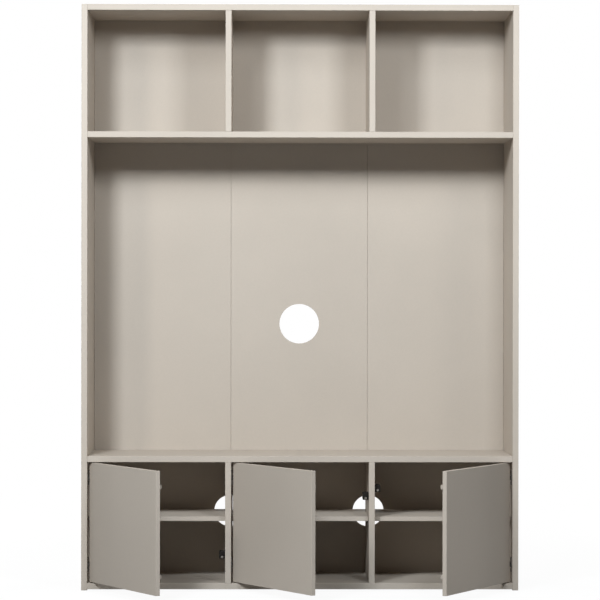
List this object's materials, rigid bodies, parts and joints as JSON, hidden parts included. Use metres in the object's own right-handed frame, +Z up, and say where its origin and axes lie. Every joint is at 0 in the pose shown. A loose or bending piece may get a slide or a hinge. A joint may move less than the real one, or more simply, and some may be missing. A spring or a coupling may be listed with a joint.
{
  "type": "tv cabinet",
  "caption": "Tall free-standing TV cabinet: an open bay with a cable hole, open compartments above, and cupboards below with inset touch-latch doors on concealed cup hinges.",
  "frame": {"origin": "on the floor under the middle of the whole, with the doors standing open as pictured", "axes": "+X to the right seen from the front, +Y into the cabinet, away from the viewer, +Z up; the front edges lie in the plane y = 0.0113 m"},
  "size_m": [1.49, 0.7222, 1.996],
  "materials": {
    "lacquered_board": "matt greige lacquer on board",
    "lacquered_back": "matt greige lacquer on thin board",
    "bright_steel": "nickel-plated, satin",
    "dark_plastic": "moulded, matt",
    "pale_plastic": "moulded, smooth"
  },
  "bodies": {
    "carcass": {"side_panel_left": "lacquered_board", "side_panel_right": "lacquered_board", "bottom_panel": "lacquered_board", "tv_shelf": "lacquered_board", "upper_shelf": "lacquered_board", "top_panel": "lacquered_board", "upper_divider_left": "lacquered_board", "upper_divider_right": "lacquered_board", "lower_divider_left": "lacquered_board", "lower_divider_right": "lacquered_board", "back_panel_left": "lacquered_back", "back_panel_middle": "lacquered_back", "back_panel_right": "lacquered_back", "left_loose_shelf": "lacquered_board", "left_loose_shelf_wire_left": "bright_steel", "left_loose_shelf_wire_right": "bright_steel", "middle_loose_shelf": "lacquered_board", "middle_loose_shelf_wire_left": "bright_steel", "middle_loose_shelf_wire_right": "bright_steel", "right_loose_shelf": "lacquered_board", "right_loose_shelf_wire_left": "bright_steel", "right_loose_shelf_wire_right": "bright_steel", "left_door_upper_hinge_arm": "bright_steel", "left_door_upper_hinge_plate": "bright_steel", "left_door_lower_hinge_arm": "bright_steel", "left_door_lower_hinge_plate": "bright_steel", "left_latch_housing": "dark_plastic", "middle_door_upper_hinge_arm": "bright_steel", "middle_door_upper_hinge_plate": "bright_steel", "middle_door_lower_hinge_arm": "bright_steel", "middle_door_lower_hinge_plate": "bright_steel", "middle_latch_housing": "dark_plastic", "right_door_upper_hinge_arm": "bright_steel", "right_door_upper_hinge_plate": "bright_steel", "right_door_lower_hinge_arm": "bright_steel", "right_door_lower_hinge_plate": "bright_steel", "right_latch_housing": "dark_plastic"},
    "left_door_leaf": {"left_door": "lacquered_board", "left_door_upper_hinge_cup": "bright_steel", "left_door_upper_hinge_pin": "bright_steel", "left_door_lower_hinge_cup": "bright_steel", "left_door_lower_hinge_pin": "bright_steel"},
    "left_latch_pin": {"left_latch_plunger": "pale_plastic"},
    "middle_door_leaf": {"middle_door": "lacquered_board", "middle_door_upper_hinge_cup": "bright_steel", "middle_door_upper_hinge_pin": "bright_steel", "middle_door_lower_hinge_cup": "bright_steel", "middle_door_lower_hinge_pin": "bright_steel"},
    "middle_latch_pin": {"middle_latch_plunger": "pale_plastic"},
    "right_door_leaf": {"right_door": "lacquered_board", "right_door_upper_hinge_cup": "bright_steel", "right_door_upper_hinge_pin": "bright_steel", "right_door_lower_hinge_cup": "bright_steel", "right_door_lower_hinge_pin": "bright_steel"},
    "right_latch_pin": {"right_latch_plunger": "pale_plastic"}
  },
  "joints": [
    {"name": "left_door_hinge", "type": "hinge", "parent": "carcass", "child": "left_door_leaf", "pos_m": [-0.7005, 0.01877, 0.2305], "axis": [0, 0, -1], "range_deg": [-58, 42]},
    {"name": "left_latch_travel", "type": "slide", "parent": "carcass", "child": "left_latch_pin", "axis": [0, -1, 0], "range_m": [-0.00813, 0.00589]},
    {"name": "middle_door_hinge", "type": "hinge", "parent": "carcass", "child": "middle_door_leaf", "pos_m": [-0.2105, 0.01877, 0.2305], "axis": [0, 0, -1], "range_deg": [-55.4, 44.6]},
    {"name": "middle_latch_travel", "type": "slide", "parent": "carcass", "child": "middle_latch_pin", "axis": [0, -1, 0], "range_m": [-0.00777, 0.00625]},
    {"name": "right_door_hinge", "type": "hinge", "parent": "carcass", "child": "right_door_leaf", "pos_m": [0.7005, 0.01877, 0.2305], "axis": [0, 0, 1], "range_deg": [-58.2, 41.8]},
    {"name": "right_latch_travel", "type": "slide", "parent": "carcass", "child": "right_latch_pin", "axis": [0, -1, 0], "range_m": [-0.00816, 0.00586]}
  ],
  "couplings": [
    {"joint": "left_latch_travel", "follows": "left_door_hinge", "m_per_rad": 0.0080214},
    {"joint": "middle_latch_travel", "follows": "middle_door_hinge", "m_per_rad": 0.0080214},
    {"joint": "right_latch_travel", "follows": "right_door_hinge", "m_per_rad": 0.0080214}
  ]
}
